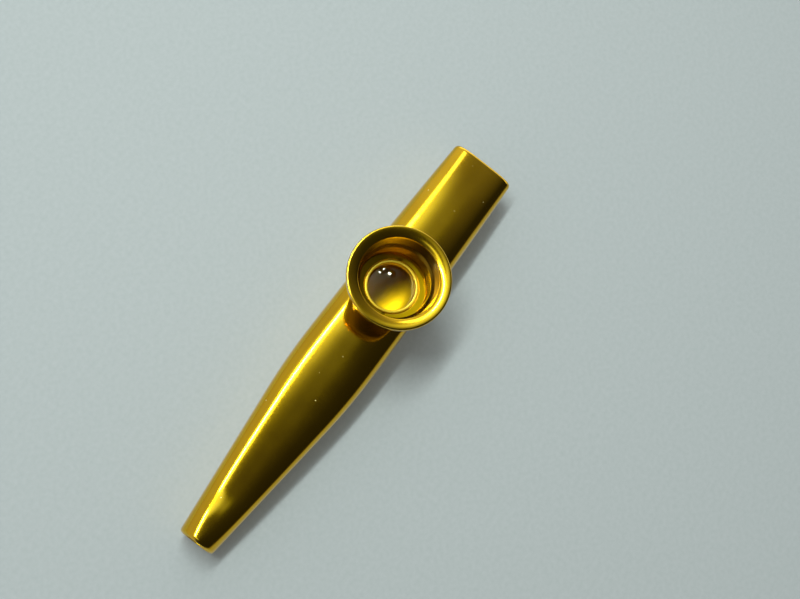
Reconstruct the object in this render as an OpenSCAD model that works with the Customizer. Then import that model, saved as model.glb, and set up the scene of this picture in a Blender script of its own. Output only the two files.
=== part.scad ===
// Kazoo with a turret cup. The mouth end points along +X, the turret stands up along +Z,
// and the tube rests on the flat of its belly at Z = 0. All sizes are in millimetres.

/* [Body tube] */
// Length from the mouth end to the sound end
body_length = 120; // [112:1:128]
// Width of the flattened mouth end
mouth_width = 17.8; // [16.5:0.1:19]
// Height of the flattened mouth end
mouth_height = 7.6; // [7:0.1:8.6]
// Width at the belly, the widest place
belly_width = 20.1; // [19.8:0.1:22]
// Height of the mouth end's middle above the rest
mouth_axis_z = 7.7; // [7.2:0.1:8.4]
// Height of the tube under the turret, above the flat that it rests on
crown_z = 13.4; // [13:0.1:14.2]
// Distance of the belly from the mouth end
belly_from_mouth = 60; // [58:1:66]
// Outer diameter of the round sound end
outlet_d = 9.6; // [9.4:0.1:11]
// Height of the sound end's middle above the rest
outlet_axis_z = 5.4; // [5.2:0.1:6.5]
// Bore of the sound end
outlet_bore_d = 7.8; // [7.2:0.1:8]
// Length of the bore in the sound end
outlet_bore_length = 6; // [4:0.5:10]
// Length of the cone that leads from the tube into that bore
outlet_cone_length = 4; // [3:0.5:8]
// Wall of the drawn tube
tube_wall = 0.8; // [0.6:0.05:0.9]
// Squareness of the flattened section's top, where 2 is an ellipse
tube_squareness = 3.6; // [3:0.1:4]
// Squareness of its underside from the turret back to the belly
belly_squareness = 2.4; // [2.2:0.1:3]
// Depth of the rounding of the outer edge at both ends
tube_edge_depth = 0.5; // [0.2:0.05:0.55]
// Length of that rounding along the tube
tube_edge_length = 1; // [0.5:0.1:1.5]
// Depth of the flat that the belly rests on
belly_flat_depth = 0.1; // [0.05:0.01:0.15]

/* [Turret cup] */
// Distance of the turret's axis from the mouth end
turret_from_mouth = 43.4; // [40:0.2:46]
// Height of the cup's rim above the surface that the kazoo rests on
rim_height = 25.7; // [25.2:0.1:27]
// Outer diameter of the rim
rim_d = 25.8; // [24.5:0.1:28]
// Height of the upright band around the rim
rim_band = 1.7; // [1.2:0.1:2.5]
// Rounding of the rim's two edges
rim_edge_r = 0.35; // [0.2:0.05:0.5]
// Diameter of the throat, where the rounded lip ends
throat_d = 20; // [19.2:0.1:21]
// Rounding of the lip, which is level at the rim and steepens down to the throat
lip_r = 6.2; // [5.4:0.1:9]
// Rounding of the throat's edge
throat_edge_r = 0.3; // [0.15:0.05:0.4]
// Diameter at the foot of the smooth wall below the throat
well_d = 18.8; // [18.5:0.1:19]
// Outer diameter of the neck, whose foot is shaped to the tube
neck_d = 19.8; // [19.6:0.1:20.2]
// Height of the straight neck above the tube
neck_height = 1; // [0.4:0.1:2]
// Outer diameter of the barrel that goes down through the tube's wall
barrel_d = 19; // [18.8:0.1:19.1]
// Depth of the barrel's foot below the tube's crown
barrel_depth = 2.5; // [2.45:0.05:2.8]
// Bore of the barrel below the membrane's floor
barrel_bore_d = 17.4; // [16.8:0.1:17.6]
// Height of the membrane's seat above the tube's crown
seat_rise = 0.3; // [0.1:0.1:0.8]
// Thickness of the floor that the membrane ring rests on
seat_floor = 0.75; // [0.6:0.05:1]
// Opening in that floor
seat_bore_d = 12.4; // [11.8:0.1:12.6]

/* [Thread] */
// Crest diameter of the turret's inner thread
thread_d = 17.6; // [17.4:0.05:17.7]
// Pitch of the thread
thread_pitch = 0.75; // [0.6:0.05:0.9]
// Depth of the thread
thread_depth = 0.2; // [0.15:0.05:0.25]
// Length of the thread above the seat
thread_length = 6.6; // [6:0.1:7]
// Gap around the retaining ring in the thread
thread_clearance = 0.05; // [0.03:0.01:0.1]

/* [Retaining ring] */
// Thickness of the retaining ring
ring_thickness = 1.3; // [1.1:0.1:1.8]
// Bore of the retaining ring
ring_bore_d = 13.8; // [13.6:0.1:14.2]
// Bevel on the ring's upper edges
ring_bevel = 0.12; // [0.06:0.02:0.2]
// Width of each spanner notch
notch_width = 1.2; // [0.8:0.1:1.6]
// Depth of each notch outward from the bore
notch_reach = 0.65; // [0.4:0.05:0.9]
// Depth of each notch down from the top
notch_depth = 0.7; // [0.4:0.1:0.9]
// Direction of the notches when the ring is tight
notch_angle = 19; // [0:1:179]

/* [Membrane] */
// Diameter of the loose film disc
membrane_d = 16.8; // [16:0.1:17.2]
// Thickness of the film
membrane_thickness = 0.05; // [0.03:0.01:0.1]

/* [Clamp ring] */
// Outer diameter of the clamp ring's flange, which presses on the film
flange_d = 17.1; // [16.5:0.1:17.2]
// Thickness of the flange
flange_thickness = 0.6; // [0.5:0.05:0.9]
// Bore of the clamp ring
clamp_bore_d = 11.9; // [11.6:0.1:12.3]
// Bevel on both edges of the collar's top
collar_bevel = 0.2; // [0.1:0.05:0.3]

/* [Fits] */
// Gap between parts that touch, and around the collar
seat_gap = 0.05; // [0.03:0.01:0.08]

/* [Hidden] */
$fn = 96;

// Points around each section of the tube, and sections along its stretches
section_points = 44;
front_sections = 9;
belly_sections = 3;
rear_sections = 18;
edge_sections = 3;
arc_steps = 8;
// The sides and the belly start to taper and run straight from these shares of the length behind
belly_start_share = 0.05;
belly_straight_share = 0.35;
// The crown starts to fall and runs straight from these shares of the length behind the saddle
crown_start_share = 0;
crown_straight_share = 0.1;
// The section turns round with this power of the sides' taper, so mostly near the sound end
rounding_power = 3;
round_squareness = 2;
// Share of the saddle's half length that lies outside the neck
saddle_spare_share = 0.1;
// The overrun of every cut past the faces that it opens
overrun = 1;
right_angle = 90;
full_turn = 360;

// Places along the tube are measured from the mouth end
turret_x = body_length / 2 - turret_from_mouth;
neck_r = neck_d / 2;
saddle_half = neck_r * (1 + saddle_spare_share);
saddle_front = turret_from_mouth - saddle_half;
saddle_back = turret_from_mouth + saddle_half;
rear_length = body_length - belly_from_mouth;
outlet_bore_r = outlet_bore_d / 2;

// Heights of the stack inside the turret
barrel_foot_z = crown_z - barrel_depth;
seat_z = crown_z + seat_rise;
membrane_z = seat_z + seat_gap;
flange_z = membrane_z + membrane_thickness + seat_gap;
ring_z = flange_z + flange_thickness + seat_gap;
ring_top_z = ring_z + ring_thickness;
collar_top_z = ring_top_z - seat_gap;
thread_top_z = seat_z + thread_length;
well_r = well_d / 2;
thread_r = thread_d / 2;
collar_r = ring_bore_d / 2 - seat_gap;

// Shape of the tube
function rise(share) = 1 - pow(1 - min(share, 1), 2);
function taper_slope(start, straight) = 1 / (1 - (start + straight) / 2);
function taper_bend(share, start, straight) = pow(share - start, 2) / (straight - start) / 2;
function taper_line(share, start, straight) = share - (start + straight) / 2;
function taper(share, start, straight) =
    share < start ? 0 :
    taper_slope(start, straight)
        * (share < straight ? taper_bend(share, start, straight) : taper_line(share, start, straight));
function blend(from, to, share) = from + (to - from) * share;
function belly_taper(x) =
    taper((x - belly_from_mouth) / rear_length, belly_start_share, belly_straight_share);
function crown_taper(x) =
    taper((x - saddle_back) / (body_length - saddle_back), crown_start_share, crown_straight_share);
function half_width(x) =
    (x < belly_from_mouth
        ? blend(mouth_width, belly_width, rise(x / belly_from_mouth))
        : blend(belly_width, outlet_d, belly_taper(x))) / 2;
function top_z(x) =
    x < saddle_back
        ? blend(mouth_axis_z + mouth_height / 2, crown_z, rise(x / saddle_front))
        : blend(crown_z, outlet_axis_z + outlet_d / 2, crown_taper(x));
function bottom_z(x) =
    x < belly_from_mouth
        ? blend(mouth_axis_z - mouth_height / 2, -belly_flat_depth, rise(x / saddle_front))
        : blend(-belly_flat_depth, outlet_axis_z - outlet_d / 2, belly_taper(x));
function rounded(squareness, x) = blend(squareness, round_squareness, pow(belly_taper(x), rounding_power));
function over_squareness(x) = rounded(tube_squareness, x);
function under_squareness(x) =
    rounded(blend(tube_squareness, belly_squareness, rise(x / saddle_front)), x);

// A ring of the loft is its place, its half width, its top, its bottom, and how square it is
// over and under its middle
function outer_ring(x, inset) =
    let (over = over_squareness(x), under = under_squareness(x))
    [x, half_width(x) - inset, top_z(x) - inset, bottom_z(x) + inset, over, under];
function bore_ring(x) =
    let (r = outlet_bore_r - seat_gap)
    [x, r, outlet_axis_z + r, outlet_axis_z - r, round_squareness, round_squareness];

function rounded_power(value, squareness) = sign(value) * pow(abs(value), 2 / squareness);
function ring_points(ring) = [
    for (i = [0 : section_points - 1])
        let (angle = full_turn * i / section_points, squareness = sin(angle) < 0 ? ring[5] : ring[4])
        [
            body_length / 2 - ring[0],
            ring[1] * rounded_power(cos(angle), squareness),
            (ring[2] + ring[3]) / 2 + (ring[2] - ring[3]) / 2 * rounded_power(sin(angle), squareness)
        ]
];

// Sections between the rounded ends. None lies under the turret, where the tube is straight
inner_end = body_length - outlet_bore_length - outlet_cone_length;
front_places = [for (i = [1 : front_sections]) saddle_front * i / front_sections];
belly_shares = [for (i = [0 : belly_sections - 1]) i / belly_sections];
belly_places = [for (share = belly_shares) blend(saddle_back, belly_from_mouth, share)];
rear_places = [for (i = [0 : rear_sections - 1]) belly_from_mouth + rear_length * i / rear_sections];
places = concat(front_places, belly_places, rear_places);
edge_angles = [for (i = [0 : edge_sections]) right_angle * i / edge_sections];
edge_places = [for (a = edge_angles) tube_edge_length * (1 - cos(a))];
edge_insets = [for (a = edge_angles) tube_edge_depth * (1 - sin(a))];

outer_rings = concat(
    [for (i = [0 : edge_sections]) outer_ring(edge_places[i], edge_insets[i])],
    [for (x = places) outer_ring(x, 0)],
    [for (i = [edge_sections : -1 : 0]) outer_ring(body_length - edge_places[i], edge_insets[i])]
);
inner_places = [for (x = places) if (x < inner_end) x];
inner_rings = concat(
    [bore_ring(body_length), bore_ring(body_length - outlet_bore_length), outer_ring(inner_end, tube_wall)],
    [for (i = [len(inner_places) - 1 : -1 : 0]) outer_ring(inner_places[i], tube_wall)],
    [outer_ring(0, tube_wall)]
);

// Triangles between ring i and the next one
function band_faces(i, next) = [
    for (j = [0 : section_points - 1])
        let (k = (j + 1) % section_points)
        each [
            [i * section_points + j, i * section_points + k, next * section_points + j],
            [i * section_points + k, next * section_points + k, next * section_points + j]
        ]
];

// The tube's outer skin runs to the sound end and its inner skin runs back
module tube_shell() {
    rings = concat(outer_rings, inner_rings);
    points = [for (ring = rings) each ring_points(ring)];
    faces = [for (i = [0 : len(rings) - 1]) each band_faces(i, (i + 1) % len(rings))];
    polyhedron(points = points, faces = faces);
}

// The stretch of the tube under the turret as a solid, grown or shrunk all round
module saddle_block(growth) {
    points = concat(
        ring_points(outer_ring(saddle_front, -growth)),
        ring_points(outer_ring(saddle_back, -growth))
    );
    front_cap = [for (j = [section_points - 1 : -1 : 0]) j];
    back_cap = [for (j = [0 : section_points - 1]) section_points + j];
    polyhedron(points = points, faces = concat([front_cap, back_cap], band_faces(0, 1)));
}

module body_tube() {
    color("goldenrod")
    difference() {
        tube_shell();
        translate([turret_x, 0, barrel_foot_z - seat_gap])
            cylinder(d = barrel_d + 2 * seat_gap, h = barrel_depth + overrun);
        translate([-body_length / 2 - overrun, 0, outlet_axis_z])
            rotate([0, right_angle, 0])
            cylinder(d = outlet_bore_d, h = outlet_bore_length + overrun);
        translate([-body_length / 2, -belly_width / 2, -crown_z])
            cube([body_length, belly_width, crown_z]);
    }
}

// Points on an arc around a centre, from one angle to another
function arc(centre, r, from, to) = [
    for (i = [0 : arc_steps])
        let (angle = blend(from, to, i / arc_steps))
        centre + r * [cos(angle), sin(angle)]
];

// Flare from the neck out to the rim's band, upright at its foot and level at its top
flare_foot_z = crown_z + neck_height;
flare_top_z = rim_height - rim_band;
function flare() = [
    for (i = [0 : arc_steps])
        let (angle = right_angle * i / arc_steps)
        [
            blend(neck_r, rim_d / 2 - rim_edge_r, 1 - cos(angle)),
            blend(flare_foot_z, flare_top_z, sin(angle))
        ]
];

// Zigzag of a thread from its top down, as radius and height
function thread_turns(length) = floor(length / thread_pitch);
function thread_points(crest_r, depth, top, length) = [
    for (i = [0 : thread_turns(length) - 1])
        each [
            [crest_r, top - i * thread_pitch],
            [crest_r + depth, top - (i + 1 / 2) * thread_pitch]
        ]
];

// The turret's wall from the barrel's foot out over the rim and down the well to the seat
module turret_wall() {
    rim_r = rim_d / 2;
    rim_edge = rim_r - rim_edge_r;
    throat_edge = throat_d / 2 + throat_edge_r;
    lip_angle = asin((rim_edge - throat_edge) / (lip_r - throat_edge_r));
    throat_z = rim_height - lip_r + (lip_r - throat_edge_r) * cos(lip_angle);
    floor_z = seat_z - seat_floor;
    profile = concat(
        [[seat_bore_d / 2, floor_z], [barrel_bore_d / 2, floor_z], [barrel_bore_d / 2, barrel_foot_z]],
        [[barrel_d / 2, barrel_foot_z], [barrel_d / 2, flare_foot_z]],
        flare(),
        arc([rim_edge, flare_top_z + rim_edge_r], rim_edge_r, -right_angle, 0),
        arc([rim_edge, rim_height - rim_edge_r], rim_edge_r, 0, right_angle),
        arc([rim_edge, rim_height - lip_r], lip_r, right_angle, right_angle + lip_angle),
        arc([throat_edge, throat_z], throat_edge_r, right_angle + lip_angle, 2 * right_angle),
        [[well_r, thread_top_z + well_r - thread_r]],
        thread_points(thread_r, thread_depth, thread_top_z, thread_length),
        [[thread_r, seat_z], [seat_bore_d / 2, seat_z]]
    );
    rotate_extrude()
        polygon(profile);
}

// The neck's foot stands on the tube all round, outside the barrel, and ends level with it
module neck_foot() {
    foot_height = flare_foot_z - barrel_foot_z;
    difference() {
        translate([turret_x, 0, barrel_foot_z])
            cylinder(d = neck_d, h = foot_height);
        translate([turret_x, 0, barrel_foot_z - overrun])
            cylinder(d = (barrel_d + thread_d) / 2, h = foot_height + 2 * overrun);
        saddle_block(seat_gap);
    }
}

module turret_cup() {
    color("goldenrod")
    union() {
        translate([turret_x, 0, 0])
            turret_wall();
        neck_foot();
    }
}

module membrane() {
    color("ivory")
    translate([turret_x, 0, membrane_z])
        cylinder(d = membrane_d, h = membrane_thickness);
}

// The flange holds the film down, and the collar centres the retaining ring
module clamp_ring() {
    bore_r = clamp_bore_d / 2;
    profile = [
        [bore_r, flange_z],
        [flange_d / 2, flange_z],
        [flange_d / 2, flange_z + flange_thickness],
        [collar_r, flange_z + flange_thickness],
        [collar_r, collar_top_z - collar_bevel],
        [collar_r - collar_bevel, collar_top_z],
        [bore_r + collar_bevel, collar_top_z],
        [bore_r, collar_top_z - collar_bevel]
    ];
    color("khaki")
    translate([turret_x, 0, 0])
    rotate_extrude()
        polygon(profile);
}

module retaining_ring() {
    ring_r = thread_r - thread_clearance;
    bore_r = ring_bore_d / 2;
    profile = concat(
        [[bore_r, ring_z], [bore_r, ring_top_z - ring_bevel], [bore_r + ring_bevel, ring_top_z]],
        [[ring_r - ring_bevel, ring_top_z]],
        thread_points(ring_r, -thread_depth, ring_top_z - ring_bevel, ring_thickness),
        [[ring_r, ring_z]]
    );
    color("gold")
    translate([turret_x, 0, 0])
    difference() {
        rotate_extrude()
            polygon(profile);
        for (side = [0, 1])
            rotate(notch_angle + side * full_turn / 2)
                translate([0, -notch_width / 2, ring_top_z - notch_depth])
                cube([bore_r + notch_reach, notch_width, notch_depth + overrun]);
    }
}

body_tube();
turret_cup();
membrane();
clamp_ring();
retaining_ring();
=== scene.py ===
from functools import reduce
from math import asin, ceil, cos, degrees, pi, radians, sin

import bpy
from mathutils import Matrix, Vector


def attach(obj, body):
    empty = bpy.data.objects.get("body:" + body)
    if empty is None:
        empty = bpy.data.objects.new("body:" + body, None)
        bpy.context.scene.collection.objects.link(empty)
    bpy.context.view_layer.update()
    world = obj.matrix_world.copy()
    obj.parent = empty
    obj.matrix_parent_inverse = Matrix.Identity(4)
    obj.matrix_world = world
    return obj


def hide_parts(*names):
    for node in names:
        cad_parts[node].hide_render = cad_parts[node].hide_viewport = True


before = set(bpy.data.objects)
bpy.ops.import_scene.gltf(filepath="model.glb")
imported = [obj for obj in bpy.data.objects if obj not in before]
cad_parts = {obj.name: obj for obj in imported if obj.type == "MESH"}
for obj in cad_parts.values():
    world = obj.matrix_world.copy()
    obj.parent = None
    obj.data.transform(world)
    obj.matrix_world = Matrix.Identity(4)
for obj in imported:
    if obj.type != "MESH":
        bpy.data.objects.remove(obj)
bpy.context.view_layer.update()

scene = bpy.context.scene


# The body is one aluminium tube, drawn to a taper, pressed flat at the mouth end and left round at
# the sound end. One hole is cut in its top for the turret's barrel, both ends are rounded over, and
# the whole is anodised gold, brighter outside than in.
MM = 0.001  # Sizes are in millimetres, and this is one of them in Blender's metres
tube = {
    "Length": 120.0,
    "Mouth width": 17.8,
    "Mouth height": 7.6,
    "Mouth axis height": 7.7,
    "Belly width": 20.1,
    "Belly from mouth": 60.0,
    "Belly flat": 0.1,
    "Crown height": 13.4,
    "Saddle front": 32.51,
    "Saddle back": 54.29,
    "Outlet diameter": 9.6,
    "Outlet axis height": 5.4,
    "Bore diameter": 7.8,
    "Bore length": 6.0,
    "Cone length": 4.0,
    "Wall": 0.8,
    "Squareness": 3.8,
    "Belly squareness": 2.4,
    "Hollow from mouth": 114.0,
    "Hollow reach": 8.0,
    "Hollow depth": 0.3,
    "Edge depth": 0.5,
    "Edge length": 1.0,
    "Inner edge rounding": 0.12,
    "Turret from mouth": 43.4,
    "Turret hole diameter": 19.1,
    "Turret hole foot": 10.85,
}
TURRET_X = tube["Length"] / 2 - tube["Turret from mouth"]
LENGTHWISE_ROWS = 250
INNER_ROWS = 120
ROUND_COLUMNS = 176
WORN_LENGTH = 0.7
DRILL_SIDES = 192
DRILL_HEIGHT = 8.0
WELD_DISTANCE = 1e-7
SHARP_ANGLE = 35


class Wire:
    """An output of a node. Arithmetic on wires adds Math nodes, and node() adds any other one."""

    def __init__(self, tree, socket=None):
        self.tree = tree
        self.socket = socket

    def node(self, kind, settings=None, values=None, out=0):
        made = self.tree.nodes.new(kind)
        for name, value in (settings or {}).items():
            if name == "stops":
                ramp = made.color_ramp.elements
                while len(ramp) < len(value):
                    ramp.new(1.0)
                for stop, (place, colour) in zip(ramp, value):
                    stop.position = place
                    stop.color = colour
            else:
                setattr(made, name, value)
        for name, value in (values or {}).items():
            if isinstance(value, Wire):
                self.tree.links.new(value.socket, made.inputs[name])
            else:
                made.inputs[name].default_value = value
        return Wire(self.tree, made.outputs[out] if len(made.outputs) else None)

    def maths(self, operation, *values):
        return self.node("ShaderNodeMath", {"operation": operation}, dict(enumerate(values)))

    def __add__(self, other):
        return self.maths("ADD", self, other)

    def __sub__(self, other):
        return self.maths("SUBTRACT", self, other)

    def __rsub__(self, other):
        return self.maths("SUBTRACT", other, self)

    def __mul__(self, other):
        return self.maths("MULTIPLY", self, other)

    def __truediv__(self, other):
        return self.maths("DIVIDE", self, other)

    def __rtruediv__(self, other):
        return self.maths("DIVIDE", other, self)

    def __pow__(self, other):
        return self.maths("POWER", self, other)

    def __abs__(self):
        return self.maths("ABSOLUTE", self)

    def __gt__(self, other):
        return self.maths("GREATER_THAN", self, other)

    __radd__ = __add__
    __rmul__ = __mul__


# These work on wires and on plain numbers. Where just one of the two is a wire, it is the value
def least(value, limit):
    return value.maths("MINIMUM", value, limit) if isinstance(value, Wire) else min(value, limit)


def most(value, limit):
    return value.maths("MAXIMUM", value, limit) if isinstance(value, Wire) else max(value, limit)


def held(value, top=1):
    """The value, kept from 0 to the top."""
    return least(most(value, 0), top)


def soft_from(value, start, slope, top=1):
    """Nothing up to the start, then a slope up to the top."""
    return held((value - start) * slope, top)


def soft_to(value, end, slope):
    """All, down a slope to nothing at the end."""
    return held((end - value) * slope)


def between(low, high, share):
    return low + (high - low) * share


# The tube's shares and heights for a distance x from its mouth end, from its sizes s
def rise(share):
    """A curve up from 0 that levels out at 1."""
    return 1 - (1 - least(share, 1)) ** 2


def taper(share, start, straight):
    """Nothing up to the start, a bend, and from straight on a straight slope to 1."""
    bend = held(share - start, straight - start)
    slope = 1 / (1 - (start + straight) / 2)
    return (bend ** 2 / (straight - start) / 2 + most(share - straight, 0)) * slope


def belly_taper(s, x):
    share = (x - s["Belly from mouth"]) / (s["Length"] - s["Belly from mouth"])
    return taper(share, start=0.05, straight=0.35)


def crown_taper(s, x):
    share = (x - s["Saddle back"]) / (s["Length"] - s["Saddle back"])
    return taper(share, start=0, straight=0.1)


def half_width(s, x):
    front = between(s["Mouth width"], s["Belly width"], rise(x / s["Belly from mouth"]))
    return (front + (s["Outlet diameter"] - s["Belly width"]) * belly_taper(s, x)) / 2


def hollow(s, x):
    """The slight dip that drawing down the sound end leaves in the top."""
    from_middle = (x - s["Hollow from mouth"]) / s["Hollow reach"]
    return most(1 - from_middle ** 2, 0) ** 2 * s["Hollow depth"]


def top_height(s, x):
    mouth = s["Mouth axis height"] + s["Mouth height"] / 2
    front = between(mouth, s["Crown height"], rise(x / s["Saddle front"]))
    outlet = s["Outlet axis height"] + s["Outlet diameter"] / 2
    return front + (outlet - s["Crown height"]) * crown_taper(s, x) - hollow(s, x)


def bottom_height(s, x):
    mouth = s["Mouth axis height"] - s["Mouth height"] / 2
    front = between(mouth, 0 - s["Belly flat"], rise(x / s["Saddle front"]))
    outlet = s["Outlet axis height"] - s["Outlet diameter"] / 2
    return front + (outlet + s["Belly flat"]) * belly_taper(s, x)


def squareness(s, x):
    """The power of the section's upper half: 2 is an ellipse, and more is squarer."""
    return between(s["Squareness"], 2, belly_taper(s, x) ** 4)


def belly_squareness(s, x):
    front = between(s["Squareness"], s["Belly squareness"], rise(x / s["Saddle front"]))
    return between(front, 2, belly_taper(s, x) ** 3)


def edge_inset(s, x, depth, length):
    """How far the rounding of the two ends draws the skin in at x."""
    near = most(1 - least(x, s["Length"] - x) / length, 0)
    return (1 - (1 - near ** 2) ** 0.5) * depth


def new_tree(name, numbers, with_start=False):
    """A geometry tree with one named input for each number, and wires from them."""
    tree = bpy.data.node_groups.new(name, "GeometryNodeTree")
    if with_start:
        tree.interface.new_socket("Start", in_out="INPUT", socket_type="NodeSocketGeometry")
    for label, value in numbers.items():
        kind = "NodeSocketInt" if isinstance(value, int) else "NodeSocketFloat"
        tree.interface.new_socket(label, in_out="INPUT", socket_type=kind)
    tree.interface.new_socket("Material", in_out="INPUT", socket_type="NodeSocketMaterial")
    tree.interface.new_socket("Piece", in_out="OUTPUT", socket_type="NodeSocketGeometry")
    entry = tree.nodes.new("NodeGroupInput")
    return Wire(tree), {socket.name: Wire(tree, socket) for socket in entry.outputs if socket.name}


def end_tree(net, shape, material, sharp_angle=SHARP_ANGLE):
    """Smooths the shape but for its sharp edges, and closes the tree."""
    turn = net.node("GeometryNodeInputMeshEdgeAngle", out="Unsigned Angle")
    smooth = net.node(
        "GeometryNodeSetShadeSmooth", {"domain": "FACE"}, {0: shape, "Shade Smooth": True}
    )
    creased = net.node(
        "GeometryNodeSetShadeSmooth",
        {"domain": "EDGE"},
        {0: smooth, "Selection": turn > radians(sharp_angle), "Shade Smooth": False},
    )
    whole = net.node("GeometryNodeRealizeInstances", values={0: creased})
    dressed = net.node("GeometryNodeSetMaterial", values={0: whole, "Material": material})
    net.node("NodeGroupOutput", values={0: dressed})


def made_by(net, name, numbers, material, start=None):
    """The plain mesh object that a tree gives for these numbers."""
    maker = bpy.data.objects.new(name + "_maker", start or bpy.data.meshes.new(name + "_start"))
    scene.collection.objects.link(maker)
    shaping = maker.modifiers.new("shaping", "NODES")
    shaping.node_group = net.tree
    given = dict(numbers, Material=material)
    for item in net.tree.interface.items_tree:
        if item.in_out == "INPUT" and item.name in given:
            shaping[item.identifier] = given[item.name]
    view_layer = bpy.context.evaluated_depsgraph_get()
    mesh = bpy.data.meshes.new_from_object(
        maker.evaluated_get(view_layer), preserve_all_data_layers=True, depsgraph=view_layer
    )
    maker.modifiers.remove(shaping)
    bpy.data.objects.remove(maker)
    piece = bpy.data.objects.new(name, mesh)
    scene.collection.objects.link(piece)
    return piece


def fit_piece(piece, body, node):
    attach(piece, body)
    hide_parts(node)


def stored(net, shape, name, value):
    """The shape with this value kept on its points, for the material to read."""
    return net.node(
        "GeometryNodeStoreNamedAttribute",
        {"data_type": "FLOAT", "domain": "POINT"},
        {0: shape, "Name": name, "Value": value},
    )


def split(net, vector):
    """The three numbers of a vector, as wires."""
    first = net.node("ShaderNodeSeparateXYZ", values={0: vector})
    return [Wire(net.tree, socket) for socket in first.socket.node.outputs]


def joined(net, x=0.0, y=0.0, z=0.0):
    """A place or a size in metres, from three numbers in millimetres."""
    return net.node("ShaderNodeCombineXYZ", values={0: x * MM, 1: y * MM, 2: z * MM})


def placed(net, shape, x, y, z):
    """The shape with its points moved to these places, given in millimetres."""
    return net.node(
        "GeometryNodeSetPosition", values={0: shape, "Position": joined(net, x, y, z)}
    )


def grid(net, rows, columns):
    """A flat sheet of points, and the row and column of each, to be placed and then welded."""
    sheet = net.node(
        "GeometryNodeMeshGrid",
        values={
            "Size X": rows,
            "Size Y": columns,
            "Vertices X": rows + 1,
            "Vertices Y": columns + 1,
        },
    )
    along, across, _ = split(net, net.node("GeometryNodeInputPosition"))
    return sheet, along + rows / 2, across + columns / 2


def welded(net, shape):
    values = {0: shape, "Distance": WELD_DISTANCE}
    return net.node("GeometryNodeMergeByDistance", values=values)


def cut(net, shape, cutter):
    settings = {"operation": "DIFFERENCE", "solver": "MANIFOLD"}
    return net.node("GeometryNodeMeshBoolean", settings, {0: shape, 1: cutter})


def tube_tree():
    """One skin that runs along the outside to the sound end, in through the bore and back."""
    net, s = new_tree("tube_shape", tube)
    rows = LENGTHWISE_ROWS + INNER_ROWS + 1
    sheet, row, column = grid(net, rows, ROUND_COLUMNS)
    angle = column * (2 * pi / ROUND_COLUMNS)
    closing = row > rows - 0.5
    inner = (row > LENGTHWISE_ROWS + 0.5) * (1 - closing)
    outward = row / LENGTHWISE_ROWS * (1 - closing)
    homeward = 1 - (row - (LENGTHWISE_ROWS + 1)) / (INNER_ROWS - 1)
    share = between(outward, homeward, inner)
    # Rows lie closest together at the two ends, where the skin turns over
    x = s["Length"] / 2 * (1 - (share * pi).maths("COSINE", share * pi))
    outer_inset = edge_inset(s, x, s["Edge depth"], s["Edge length"])
    inner_grow = edge_inset(s, x, s["Inner edge rounding"], s["Inner edge rounding"])
    cone_start = s["Length"] - s["Bore length"] - s["Cone length"]
    in_cone = held((x - cone_start) / s["Cone length"])
    bore = s["Bore diameter"] / 2

    def skin(outside, in_bore, sign):
        inside = between(outside - s["Wall"] * sign, in_bore, in_cone) + inner_grow * sign
        return between(outside - outer_inset * sign, inside, inner)

    half = skin(half_width(s, x), bore, 1)
    top = skin(top_height(s, x), s["Outlet axis height"] + bore, 1)
    bottom = skin(bottom_height(s, x), s["Outlet axis height"] - bore, -1)
    across = angle.maths("COSINE", angle)
    up = angle.maths("SINE", angle)
    power = between(belly_squareness(s, x), squareness(s, x), up > 0)
    reach = (abs(across) ** power + abs(up) ** power) ** (0 - 1 / power)
    y = half * across * reach
    z = (top + bottom) / 2 + (top - bottom) / 2 * up * reach
    worn = most(1 - least(x, s["Length"] - x) / WORN_LENGTH, 0) * (1 - inner)
    shape = stored(net, sheet, "inside", inner)
    shape = stored(net, shape, "edge", worn)
    # The belly is flat where it would pass below the surface that it rests on
    shape = welded(net, placed(net, shape, s["Length"] / 2 - x, y, most(z, 0)))
    drill = net.node(
        "GeometryNodeMeshCylinder",
        values={
            "Vertices": DRILL_SIDES,
            "Radius": s["Turret hole diameter"] / 2 * MM,
            "Depth": DRILL_HEIGHT * MM,
        },
    )
    drill_z = s["Turret hole foot"] + DRILL_HEIGHT / 2
    drill_place = joined(net, s["Length"] / 2 - s["Turret from mouth"], z=drill_z)
    drill = net.node("GeometryNodeTransform", values={0: drill, "Translation": drill_place})
    end_tree(net, cut(net, shape, drill), s["Material"])
    return net


def new_material(name):
    """A material with its tree, and the place that its patterns read."""
    material = bpy.data.materials.new(name)
    material.use_nodes = True
    material.node_tree.nodes.clear()
    net = Wire(material.node_tree)
    return material, net, net.node("ShaderNodeTexCoord", out="Object")


def end_material(net, sockets):
    skin = net.node("ShaderNodeBsdfPrincipled", values=sockets)
    net.node("ShaderNodeOutputMaterial", values={0: skin})


def kept(net, name):
    """The value of this name that the piece's tree has kept on its points."""
    return net.node("ShaderNodeAttribute", {"attribute_name": name}, out="Fac")


def noise(net, place, size, detail, roughness=0.5):
    """A noise from 0 to 1 whose grains are about this size in millimetres."""
    return net.node(
        "ShaderNodeTexNoise",
        values={"Vector": place, "Scale": 1000 / size, "Detail": detail, "Roughness": roughness},
    )


def mixed(net, share, low, high):
    """A colour between two. A Mix node takes colours in sockets 6 and 7, and gives one in 2."""
    settings = {"data_type": "RGBA", "clamp_factor": True}
    return net.node("ShaderNodeMix", settings, {"Factor": share, 6: low, 7: high}, out=2)


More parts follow.
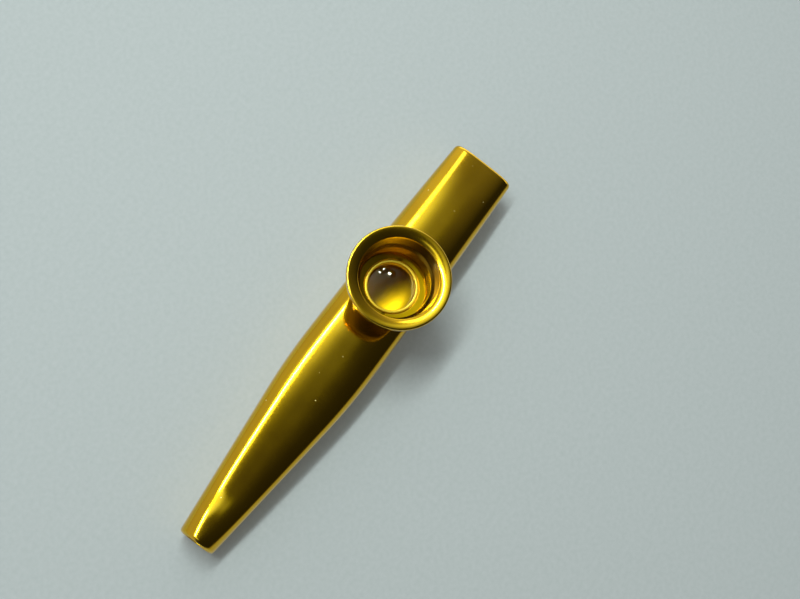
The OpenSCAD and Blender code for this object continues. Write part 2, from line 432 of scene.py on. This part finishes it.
GOLD = (0.83, 0.50, 0.006, 1)
GOLD_SHADE = (0.72, 0.42, 0.003, 1)
RUBBED_GOLD = (0.93, 0.62, 0.06, 1)
SPECK_GOLD = (1.0, 0.88, 0.5, 1)
BRUSHING = (3.0, 1.0, 1.0)
CLOUD_SIZE, CLOUD_START, CLOUD_CONTRAST = 9.0, 0.35, 1.6
SATIN_BY_GRAIN, SATIN_BY_CLOUDS = 0.5, 0.4
RELIEF_BY_GRAIN, RELIEF_BY_FINE_GRAIN = 0.7, 0.3
RUBBED_SHARE = 0.5
SPECKS_PER_METRE, SPECK_SIZE, SPECK_PATCH = 330.0, 0.06, 2.6
SPECK_PALENESS, SPECK_DULLNESS, SPECK_DEPTH = 0.6, 0.3, 0.8
LATHE_SLANT, LATHE_GRAIN, LATHE_FEED = 0.8, 0.6, 1.1


def anodised(
    name,
    colour,
    shade,
    recess,
    satin,
    grain_size,
    grain_height,
    lathe_lines=0.0,
    coat=0.35,
    specked=False,
    bare=0.0,
):
    """Gold anodised aluminium: a dyed clear skin over satin metal, paler where it is rubbed.

    Recess is the colour for the parts marked as inside, which have no clear skin and are rougher by
    bare; where it is darker than the outside, as on the turret, it is a painted shade. Grain and
    lathe lines are given in millimetres.
    """
    material, net, place = new_material(name)
    inside = kept(net, "inside")
    brushed = net.node(
        "ShaderNodeVectorMath", {"operation": "MULTIPLY"}, {0: place, 1: BRUSHING}
    )
    clouds = noise(net, place, size=CLOUD_SIZE, detail=3.0)
    grain = noise(net, brushed, size=grain_size * 2, detail=2.0, roughness=0.6)
    fine = noise(net, place, size=grain_size / 3, detail=1.0)
    dye_and_painted_shade = mixed(net, (clouds - CLOUD_START) * CLOUD_CONTRAST, shade, colour)
    # Parts marked inside take the recess colour, which on the turret is a painted shade
    dye_and_painted_shade = mixed(net, inside, dye_and_painted_shade, recess)
    rubbed = least(kept(net, "edge") * (0.5 + grain), 1) * RUBBED_SHARE
    dye_and_painted_shade = mixed(net, rubbed, dye_and_painted_shade, RUBBED_GOLD)
    uneven = (grain - 0.5) * SATIN_BY_GRAIN + (clouds - 0.5) * SATIN_BY_CLOUDS
    dull = satin + uneven * satin + inside * bare
    height = grain * RELIEF_BY_GRAIN + fine * RELIEF_BY_FINE_GRAIN
    if specked:
        cells = net.node(
            "ShaderNodeTexVoronoi",
            {"feature": "F1"},
            {"Vector": place, "Scale": SPECKS_PER_METRE},
        )
        patches = noise(net, place, size=SPECK_PATCH, detail=1.0) > 0.5
        speck = soft_to(cells, end=SPECK_SIZE, slope=40) * patches
        dye_and_painted_shade = mixed(net, speck * SPECK_PALENESS, dye_and_painted_shade, SPECK_GOLD)
        dull = dull + speck * SPECK_DULLNESS
        height = height - speck * SPECK_DEPTH
    if lathe_lines:
        along, across, level = split(net, place)
        from_axis = ((along - TURRET_X * MM) ** 2 + across ** 2) ** 0.5
        feed = net.node(
            "ShaderNodeTexNoise",
            {"noise_dimensions": "1D"},
            {
                "W": (from_axis + level * LATHE_SLANT) * (1000 / lathe_lines),
                "Scale": 1.0,
                "Detail": 2.0,
            },
        )
        height = height * LATHE_GRAIN + feed * LATHE_FEED
    relief = net.node(
        "ShaderNodeBump",
        values={"Strength": 0.5, "Distance": grain_height * MM, "Height": height},
    )
    end_material(
        net,
        {
            "Base Color": dye_and_painted_shade,
            "Metallic": 1.0,
            "Roughness": least(most(dull, 0.05), 1),
            "IOR": 1.6,
            "Coat Weight": (1 - inside) * coat,
            "Coat Roughness": 0.06,
            "Coat IOR": 1.6,
            "Normal": relief,
        },
    )
    return material


tube_gold = anodised(
    "gold_anodised_tube",
    GOLD,
    GOLD_SHADE,
    recess=GOLD,
    satin=0.125,
    grain_size=0.3,
    grain_height=0.006,
    specked=True,
    bare=0.28,
)
body = made_by(tube_tree(), "tube", tube, tube_gold)
fit_piece(body, "kazoo", "body_tube")


# The turret is turned from the solid: a lip that rounds in to the throat, a smooth well, a fine
# inner thread above the seat, and a barrel that goes down through the tube. Its neck is shaped to
# the tube, and the lip's edges are rubbed bright. All but the lip is painted darker, a painted
# shade in the well and the bore and under the flare, the neck and the barrel.
thread = {"Pitch": 0.75, "Top": 20.3, "Crest radius": 8.8, "Depth": 0.2}
THREAD_STEP = 0.05
THREAD_RUN_OUT = 0.35
SAME_RADIUS = 0.001
CREST_WEAR = 0.8
PLAIN_STEP = 0.5
LATHE_SEGMENTS = 256


def line(start, end, step):
    """Points from start up to, and without, the end, no further apart than the step."""
    length = ((end[0] - start[0]) ** 2 + (end[1] - start[1]) ** 2) ** 0.5
    count = max(1, ceil(length / step))
    shares = [i / count for i in range(count)]
    return [(between(start[0], end[0], t), between(start[1], end[1], t)) for t in shares]


def arc(centre, radius, start, end, steps=8):
    angles = [radians(between(start, end, i / steps)) for i in range(steps + 1)]
    return [(centre[0] + radius * cos(a), centre[1] + radius * sin(a)) for a in angles]


def turned_tree():
    """Turns a closed outline, given as loose points, about the turret's axis."""
    # Only the names and kinds count here, because each piece gives its own numbers
    numbers = {"Segments": 8, "Axis": 1.0, "Pitch": 1.0, "Thread top": 1.0, "Thread depth": 1.0}
    net, s = new_tree("turned_shape", numbers, with_start=True)
    count = net.node(
        "GeometryNodeAttributeDomainSize", {"component": "MESH"}, {0: s["Start"]}
    )
    sheet, row, column = grid(net, count, s["Segments"])
    angle = column * (2 * pi) / s["Segments"]
    # The last row is the first one again, and the quarter keeps each index off the one before
    index = row - count * (row > count - 0.5) + 0.25

    def of_outline(value, kind="FLOAT"):
        return net.node(
            "GeometryNodeSampleIndex",
            {"data_type": kind, "domain": "POINT"},
            {0: s["Start"], "Value": value, "Index": index},
        )

    def marked(name):
        mark = net.node(
            "GeometryNodeInputNamedAttribute", {"data_type": "FLOAT"}, {"Name": name}
        )
        return of_outline(mark)

    spot = net.node("GeometryNodeInputPosition")
    radius, _, level = split(net, of_outline(spot, "FLOAT_VECTOR"))
    threaded = marked("thread")
    turns = (s["Thread top"] - level) / s["Pitch"] + angle / (2 * pi)
    wave = 0.5 - 0.5 * turns.maths("COSINE", turns * (2 * pi))
    radius = radius + wave * threaded * s["Thread depth"]
    crest = (1 - wave) ** 3 * threaded * CREST_WEAR
    shape = stored(net, sheet, "edge", most(marked("edge"), crest))
    shape = stored(net, shape, "inside", marked("inside"))
    x = radius * angle.maths("COSINE", angle) + s["Axis"]
    y = radius * angle.maths("SINE", angle)
    shape = welded(net, placed(net, shape, x, y, level))
    end_tree(net, shape, s["Material"])
    return net


turned = turned_tree()


def outline_mesh(name, points, threaded=None, rubbed=(), bright=None):
    """Loose points for turned_tree, marked with their share of thread, wear and painted shade.

    Threaded gives the thread's foot, top and radius, rubbed a radius, height and reach for each
    worn edge, and bright the points that keep the outside's colour; the rest are marked inside
    for a painted shade. All points are bright where none is given.
    """
    bright = range(len(points)) if bright is None else bright
    mesh = bpy.data.meshes.new(name + "_outline")
    mesh.from_pydata([(r, 0, z) for r, z in points], [], [])
    share = mesh.attributes.new("thread", "FLOAT", "POINT")
    edge = mesh.attributes.new("edge", "FLOAT", "POINT")
    inside = mesh.attributes.new("inside", "FLOAT", "POINT")
    for i, (r, z) in enumerate(points):
        inside.data[i].value = float(i not in bright)
        if threaded:
            foot, top, thread_r = threaded
            if foot < z < top and abs(r - thread_r) < SAME_RADIUS:
                run_out = min(z - foot, top - z) / THREAD_RUN_OUT
                share.data[i].value = min(1, run_out)
        near = [1 - ((r - er) ** 2 + (z - ez) ** 2) ** 0.5 / reach for er, ez, reach in rubbed]
        edge.data[i].value = max([0] + near)
    return mesh


def turned_piece(name, points, material, segments=LATHE_SEGMENTS, depth=0.0, top=0.0, **marks):
    numbers = {
        "Segments": segments,
        "Axis": TURRET_X,
        "Pitch": thread["Pitch"],
        "Thread top": top,
        "Thread depth": depth,
    }
    return made_by(turned, name, numbers, material, outline_mesh(name, points, **marks))


RIM_Z = 25.7
RIM_BAND = 1.7
RIM_R = 12.9
EDGE_R = 0.35
RIM_EDGE = RIM_R - EDGE_R
LIP_R = 6.2
THROAT_R = 10.0
THROAT_EDGE_R = 0.3
LIP_TURN = asin((RIM_EDGE - THROAT_R - THROAT_EDGE_R) / (LIP_R - THROAT_EDGE_R))
THROAT_Z = RIM_Z - LIP_R + (LIP_R - THROAT_EDGE_R) * cos(LIP_TURN)
WELL_R = 9.4
WELL_FOOT_Z = thread["Top"] + 0.6
NECK_R = 9.9
NECK_TOP_Z = 14.4
NECK_LOW_Z = 13.5
BARREL_R = 9.5
BARREL_BORE_R = 8.7
BARREL_FOOT_Z = 10.9
SEAT_Z = 13.7
SEAT_UNDER_Z = 12.95
SEAT_BORE_R = 6.2
SEAT_BEVEL = 0.05
FLARE_STEPS = 24
THROAT_ANGLE = 90 + degrees(LIP_TURN)
flare_turns = [pi / 2 * i / FLARE_STEPS for i in range(FLARE_STEPS, -1, -1)]
flare = [
    (
        between(NECK_R, RIM_EDGE, 1 - cos(turn)),
        between(NECK_TOP_Z, RIM_Z - RIM_BAND, sin(turn)),
    )
    for turn in flare_turns
]
bevel_foot = (SEAT_BORE_R, SEAT_Z - SEAT_BEVEL)
bevel_top = (SEAT_BORE_R + SEAT_BEVEL, SEAT_Z)
thread_foot = (thread["Crest radius"], SEAT_Z)
thread_top = (thread["Crest radius"], thread["Top"])
well_outline = (
    line((BARREL_BORE_R, BARREL_FOOT_Z), (BARREL_BORE_R, SEAT_UNDER_Z), PLAIN_STEP)
    + line((BARREL_BORE_R, SEAT_UNDER_Z), (SEAT_BORE_R, SEAT_UNDER_Z), PLAIN_STEP)
    + line((SEAT_BORE_R, SEAT_UNDER_Z), bevel_foot, step=1)
    + line(bevel_foot, bevel_top, step=1)
    + line(bevel_top, thread_foot, PLAIN_STEP)
    + line(thread_foot, thread_top, THREAD_STEP)
    + line(thread_top, (WELL_R, WELL_FOOT_Z), step=0.2)
    + line((WELL_R, WELL_FOOT_Z), (THROAT_R, THROAT_Z), PLAIN_STEP)
)
lip_outline = (
    arc((THROAT_R + THROAT_EDGE_R, THROAT_Z), THROAT_EDGE_R, 180, THROAT_ANGLE)[:-1]
    + arc((RIM_EDGE, RIM_Z - LIP_R), LIP_R, THROAT_ANGLE, 90, steps=20)[:-1]
    + arc((RIM_EDGE, RIM_Z - EDGE_R), EDGE_R, 90, 0)
    + arc((RIM_EDGE, RIM_Z - RIM_BAND + EDGE_R), EDGE_R, 0, -90)
)
# Where the neck and the barrel meet the tube, the points are at the floor until the cup is turned
cup_outline = (
    well_outline
    + lip_outline
    + flare[1:]
    + [(NECK_R, NECK_LOW_Z), (NECK_R, 0.0), (BARREL_R, 0.0), (BARREL_R, BARREL_FOOT_Z)]
)
cup_gold = anodised(
    "gold_anodised_turret",
    GOLD,
    GOLD_SHADE,
    # The dark recess colour is a painted shade, laid on every part of the turret but the lip
    recess=(0.29, 0.16, 0.012, 1),
    satin=0.14,
    grain_size=0.3,
    grain_height=0.002,
    lathe_lines=0.12,
    bare=0.1,
)
cup = turned_piece(
    "turret",
    cup_outline,
    cup_gold,
    depth=thread["Depth"],
    top=thread["Top"],
    threaded=(SEAT_Z, thread["Top"], thread["Crest radius"]),
    # Only the lip keeps the outside's colour; every other point takes the painted shade
    bright=range(len(well_outline), len(well_outline) + len(lip_outline)),
    rubbed=[
        (RIM_R - 0.1, RIM_Z - 0.1, 0.45),
        (THROAT_R, THROAT_Z, 0.3),
        (RIM_R - 0.1, RIM_Z - RIM_BAND + 0.1, 0.4),
    ],
)
# The neck's foot stands on the tube: its points are lifted to a hair over the tube's skin, or,
# where that falls away beside the turret, over the barrel's foot
FOOT_OVER_TUBE = 0.03
FOOT_OVER_BARREL = 0.02
for vertex in cup.data.vertices:
    if vertex.co.z < MM:
        x = tube["Length"] / 2 - vertex.co.x / MM
        top, bottom = top_height(tube, x), bottom_height(tube, x)
        side = min(abs(vertex.co.y) / MM / half_width(tube, x), 1)
        power = squareness(tube, x)
        arch = (1 - side ** power) ** (1 / power)
        on_tube = (top + bottom) / 2 + (top - bottom) / 2 * arch + FOOT_OVER_TUBE
        vertex.co.z = max(on_tube, BARREL_FOOT_Z + FOOT_OVER_BARREL) * MM
fit_piece(cup, "kazoo", "turret_cup")


# The sounding film is a loose disc of thin clear plastic over the opening in the seat. The clamp
# ring holds it all round, and inside the ring it is a little slack and creased.
FILM_Z = 13.78
FILM_HALF = 0.015
FILM_R = 8.4
FILM_STEP = 0.1
FILM_SEGMENTS = 192
film_numbers = {"Slack": 0.2, "Crease": 0.06, "Window": 5.95, "Axis": TURRET_X, "Seed": 4.0}
CREASES_PER_METRE, CREASE_FADE = 260.0, 6
# Small puckers at the ring's edge: place from the middle along and across, spread and height
pinches = [(3.2, 3.9, 0.6, 0.24), (1.9, 4.2, 0.35, 0.16), (3.1, 1.9, 0.5, 0.22)]
PINCH_REACH, PINCH_FADE, PUCKER_GAIN = 6, 12, 3


def film_tree():
    """A disc of two skins, turned as an outline, then creased and pinched inside the window."""
    net, s = new_tree("film_shape", film_numbers, with_start=True)
    spot = net.node("GeometryNodeInputPosition")
    x, y, z = [part / MM for part in split(net, spot)]
    from_axis = ((x - s["Axis"]) ** 2 + y ** 2) ** 0.5
    free = 1 - least(from_axis / s["Window"], 1) ** 2
    creases = net.node(
        "ShaderNodeTexNoise",
        {"noise_dimensions": "4D"},
        {"Vector": spot, "W": s["Seed"], "Scale": CREASES_PER_METRE, "Detail": 1.0},
    )
    lift = free * s["Slack"] + (creases - 0.5) * s["Crease"] * least(free * CREASE_FADE, 1)
    bumps = []
    for away, beside, spread, height in pinches:
        gap = ((x - s["Axis"] - away) / spread) ** 2 + ((y - beside) / spread) ** 2
        bumps.append(most(1 - gap / PINCH_REACH, 0))
        lift = lift + bumps[-1] ** 3 * height * least(free * PINCH_FADE, 1)
    pucker = least(reduce(most, bumps) * PUCKER_GAIN, 1)
    shape = stored(net, s["Start"], "pucker", pucker)
    end_tree(net, placed(net, shape, x, y, z + lift), s["Material"], sharp_angle=80)
    return net


def clear_film(name):
    """Thin clear plastic: all but invisible, with the weak sharp reflection of two clear faces."""
    material, net, place = new_material(name)
    haze = noise(net, place, size=2.5, detail=3.0)
    scuffs = noise(net, place, size=0.25, detail=2.0)
    relief = net.node(
        "ShaderNodeBump", values={"Strength": 0.3, "Distance": 0.01 * MM, "Height": haze}
    )
    end_material(
        net,
        {
            "Base Color": mixed(net, haze, (0.85, 0.85, 0.62, 1), (0.97, 0.97, 0.78, 1)),
            "Metallic": 1.0,
            "Roughness": 0.04 + scuffs * 0.04,
            "Alpha": 0.012 + haze * 0.02 + kept(net, "pucker") * 0.1,
            "Normal": relief,
        },
    )
    return material


film_clear = clear_film("clear_film")
film_top = line((0.0, FILM_Z + FILM_HALF), (FILM_R, FILM_Z + FILM_HALF), FILM_STEP)
film_under = line((FILM_R, FILM_Z - FILM_HALF), (0.0, FILM_Z - FILM_HALF), FILM_STEP)
disc_outline = film_top + film_under + [(0.0, FILM_Z - FILM_HALF)]
disc = turned_piece("film_disc", disc_outline, film_clear, segments=FILM_SEGMENTS)
film = made_by(film_tree(), "film", film_numbers, film_clear, disc.data.copy())
bpy.data.objects.remove(disc)
fit_piece(film, "membrane", "membrane")


# The clamp ring is turned bright. Its flange, under the retaining ring, presses the film down, and
# its collar stands up through the retaining ring's bore and shows as a bright ring round the film.
CLAMP_BORE_R = 5.95
COLLAR_R = 6.85
FLANGE_R = 8.55
CLAMP_FOOT_Z = 13.85
FLANGE_Z = 14.45
COLLAR_Z = 15.75
COLLAR_ROUND = 0.25
FLANGE_ROUND = 0.05
collar_round_z = COLLAR_Z - COLLAR_ROUND
flange_corner = (FLANGE_R - FLANGE_ROUND, FLANGE_Z - FLANGE_ROUND)
clamp_outline = (
    line((CLAMP_BORE_R, CLAMP_FOOT_Z), (CLAMP_BORE_R, collar_round_z), PLAIN_STEP)
    + arc((CLAMP_BORE_R + COLLAR_ROUND, collar_round_z), COLLAR_ROUND, 180, 90)
    + arc((COLLAR_R - COLLAR_ROUND, collar_round_z), COLLAR_ROUND, 90, 0)
    + line((COLLAR_R, collar_round_z - 0.1), (COLLAR_R, FLANGE_Z), PLAIN_STEP)
    + line((COLLAR_R, FLANGE_Z), (FLANGE_R - FLANGE_ROUND, FLANGE_Z), PLAIN_STEP)
    + arc(flange_corner, FLANGE_ROUND, 90, 0, steps=3)
    + [(FLANGE_R, FLANGE_Z - 0.15), (FLANGE_R, CLAMP_FOOT_Z)]
)
clamp_gold = anodised(
    "bright_turned_clamp",
    (0.96, 0.66, 0.05, 1),
    (0.90, 0.58, 0.03, 1),
    recess=GOLD,
    satin=0.3,
    grain_size=0.2,
    grain_height=0.002,
    lathe_lines=0.07,
)
clamp = turned_piece("clamp_collar", clamp_outline, clamp_gold, rubbed=[(6.4, COLLAR_Z, 0.5)])
fit_piece(clamp, "clamp_ring", "clamp_ring")


# The retaining ring screws down into the turret on a fine outer thread and holds the clamp ring's
# flange. Its face is turned a little hollow, and two notches by its bore take a two-pin spanner.
RING_BORE_R = 6.90
RING_R = 8.75
RING_FOOT_Z = 14.50
RING_TOP_Z = 15.80
RING_BEVEL = 0.12
RING_DISH = 0.08
bore_bevel_foot = (RING_BORE_R, RING_TOP_Z - RING_DISH - RING_BEVEL)
bore_bevel_top = (RING_BORE_R + RING_BEVEL, RING_TOP_Z - RING_DISH)
rim_bevel_top = (RING_R - RING_BEVEL, RING_TOP_Z)
rim_bevel_foot = (RING_R, RING_TOP_Z - RING_BEVEL)
ring_outline = (
    line((RING_BORE_R, RING_FOOT_Z), bore_bevel_foot, PLAIN_STEP)
    + line(bore_bevel_foot, bore_bevel_top, step=0.1)
    + line(bore_bevel_top, rim_bevel_top, step=0.3)
    + line(rim_bevel_top, rim_bevel_foot, step=0.1)
    + line(rim_bevel_foot, (RING_R, RING_FOOT_Z), THREAD_STEP)
    + line((RING_R, RING_FOOT_Z), (RING_BORE_R, RING_FOOT_Z), PLAIN_STEP)
)
ring_gold = anodised(
    "gold_anodised_ring",
    GOLD,
    GOLD_SHADE,
    recess=(0.62, 0.37, 0.006, 1),
    satin=0.09,
    grain_size=0.25,
    grain_height=0.003,
    lathe_lines=0.1,
    coat=0.0,
)
ring = turned_piece(
    "threaded_ring",
    ring_outline,
    ring_gold,
    depth=-thread["Depth"],
    top=RING_TOP_Z - RING_BEVEL,
    threaded=(RING_FOOT_Z, RING_TOP_Z - RING_BEVEL, RING_R),
    rubbed=[
        (RING_BORE_R + RING_BEVEL / 2, RING_TOP_Z - RING_DISH - RING_BEVEL / 2, 0.25),
        (RING_R - RING_BEVEL / 2, RING_TOP_Z - RING_BEVEL / 2, 0.2),
    ],
)
notch_numbers = {
    "Width": 1.2,
    "Reach": 7.55,
    "Depth": 0.7,
    "Top": RING_TOP_Z,
    "Turn": radians(19),
    "Axis": TURRET_X,
}


def notch_tree():
    """Cuts two opposite slots down into a ring beside its bore."""
    net, s = new_tree("notch_cut", notch_numbers, with_start=True)
    size = joined(net, s["Reach"] * 2, s["Width"], s["Depth"] * 2)
    cutter = net.node(
        "GeometryNodeTransform",
        values={
            0: net.node("GeometryNodeMeshCube", values={"Size": size}),
            "Translation": joined(net, s["Axis"], z=s["Top"]),
            "Rotation": net.node("ShaderNodeCombineXYZ", values={2: s["Turn"]}),
        },
    )
    end_tree(net, cut(net, s["Start"], cutter), s["Material"])
    return net


notched = made_by(notch_tree(), "notched_ring", notch_numbers, ring_gold, ring.data.copy())
bpy.data.objects.remove(ring)
fit_piece(notched, "retaining_ring", "retaining_ring")


# A plain pale sheet lies under the kazoo, with a faint even glow that is painted light: it
# lightens the shadows on the sheet. A long soft lamp stands above its left side and fades
# towards the mouth end. The room is darkest on the right, with low pale light at both ends.
FLOOR_REACH = 3.0
FLOOR_Z = -0.00002
LAMP_COLOUR = (0.95, 1.05, 1.0)
LEMON = (0.96, 1.15, 0.95)
PAST_LAMP_LEVEL, AHEAD_LEVEL, LOW_AHEAD_LEVEL, SKYLINE_LEVEL = 0.08, 0.28, 1.2, 0.32
# The room's level by direction: 0 is the right, 0.5 straight up and 1 the left
room_across = [
    (0.0, 0.02),
    (0.34, 0.026),
    (0.47, 0.038),
    (0.5, 0.062),
    (0.57, 0.10),
    (0.7, 0.46),
    (0.92, 0.54),
    (1.0, 0.48),
]


def floor_sheet():
    material, net, place = new_material("pale_floor")
    cells = noise(net, place, size=1.2, detail=2.0)
    end_material(
        net,
        {
            "Base Color": mixed(net, cells, (0.325, 0.355, 0.365, 1), (0.39, 0.415, 0.43, 1)),
            "Roughness": 0.8,
            # The emission is painted light: an even glow that stands in for light through the
            # sheet, lifting its shadows and lighting the kazoo a little from below
            "Emission Color": mixed(net, cells, (0.075, 0.082, 0.078, 1), (0.085, 0.092, 0.088, 1)),
            "Emission Strength": 1.0,
        },
    )
    mesh = bpy.data.meshes.new("floor")
    signs = [(-1, -1), (1, -1), (1, 1), (-1, 1)]
    corners = [(x * FLOOR_REACH, y * FLOOR_REACH, FLOOR_Z) for x, y in signs]
    mesh.from_pydata(corners, [], [(0, 1, 2, 3)])
    mesh.materials.append(material)
    floor = bpy.data.objects.new("floor", mesh)
    scene.collection.objects.link(floor)


def lamp(name, along, slant, distance, size, radiance):
    """A flat soft lamp facing the kazoo, in metres, with its slant to the left in degrees."""
    data = bpy.data.lights.new(name, "AREA")
    data.shape = "RECTANGLE"
    data.size, data.size_y = size
    data.color = LAMP_COLOUR
    data.energy = radiance * pi * size[0] * size[1]
    made = bpy.data.objects.new(name, data)
    z = Vector((0, sin(radians(slant)), cos(radians(slant))))
    x = Vector((1, 0, 0))
    turn = Matrix((x, z.cross(x), z)).transposed().to_4x4()
    made.matrix_world = Matrix.Translation(Vector((along, 0, 0)) + z * distance) @ turn
    scene.collection.objects.link(made)


def room_light():
    """The room's light by direction: over the kazoo, beside the lamp, and low at both ends."""
    world = bpy.data.worlds.new("room")
    world.use_nodes = True
    world.node_tree.nodes.clear()
    net = Wire(world.node_tree)
    along, left, up = split(net, net.node("ShaderNodeTexCoord", out="Generated"))
    across = left / most((left ** 2 + up ** 2) ** 0.5, 0.001)
    stops = [(place, (level, level, level, 1)) for place, level in room_across]
    base = net.node("ShaderNodeValToRGB", {"stops": stops}, {"Fac": across * 0.5 + 0.5})

    def off(value, middle, reach):
        return ((value - middle) / reach) ** 2

    # Ahead is towards the mouth end
    glow = soft_from(along, start=0.045, slope=9) * soft_to(along, end=0.57, slope=7)
    glow = glow * soft_from(across, start=-0.035, slope=6, top=0.95)
    glow = glow * soft_to(across, end=0.55, slope=5)
    past_lamp = off(along, middle=0.62, reach=0.32) + off(across, middle=0.58, reach=0.26)
    glow = glow + most(1 - past_lamp, 0) * PAST_LAMP_LEVEL
    behind = soft_from(across * 0.4 - along, start=0.11, slope=16, top=1.3)
    behind = behind * soft_from(along, start=-0.27, slope=12)
    behind = behind * soft_to(across, end=0.45, slope=5)
    behind = behind * soft_from(across, start=-0.08, slope=8)
    ahead = soft_from(along, start=0.25, slope=2) * most(across + 0.6, 0) * AHEAD_LEVEL
    low_ahead = soft_from(along, start=0.68, slope=8) * soft_to(up, end=0.42, slope=10)
    skyline = soft_to(up, end=0.2, slope=8) * SKYLINE_LEVEL

    def combined(operation, first, second):
        return net.node("ShaderNodeVectorMath", {"operation": operation}, {0: first, 1: second})

    whole = combined("ADD", base, combined("MULTIPLY", glow + behind, LEMON))
    whole = combined("ADD", whole, ahead + low_ahead * LOW_AHEAD_LEVEL)
    whole = combined("MAXIMUM", whole, skyline)
    shining = net.node("ShaderNodeBackground", values={"Color": whole})
    net.node("ShaderNodeOutputWorld", values={0: shining})
    scene.world = world


floor_sheet()
lamp("long_lamp", along=0.085, slant=20.5, distance=0.6, size=(0.43, 0.105), radiance=7.0)
lamp("long_lamp_core", along=0.05, slant=21.5, distance=0.59, size=(0.37, 0.038), radiance=41.0)
lamp("long_lamp_end", along=0.41, slant=21, distance=0.6, size=(0.22, 0.115), radiance=2.5)
room_light()

# The camera looks down from 30 cm up, at the photograph's angle
lens = bpy.data.cameras.new("camera")
lens.lens = 54.0
lens.sensor_width = 36.0
lens.clip_start = 0.01
camera = bpy.data.objects.new("camera", lens)
camera.matrix_world = Matrix(
    (
        (0.578311, 0.764619, -0.285286, -0.06903),
        (-0.792177, 0.609989, 0.029038, 0.00505),
        (0.196131, 0.209104, 0.958023, 0.29859),
        (0, 0, 0, 1),
    )
)
scene.collection.objects.link(camera)
scene.camera = camera
scene.view_settings.view_transform = "Standard"
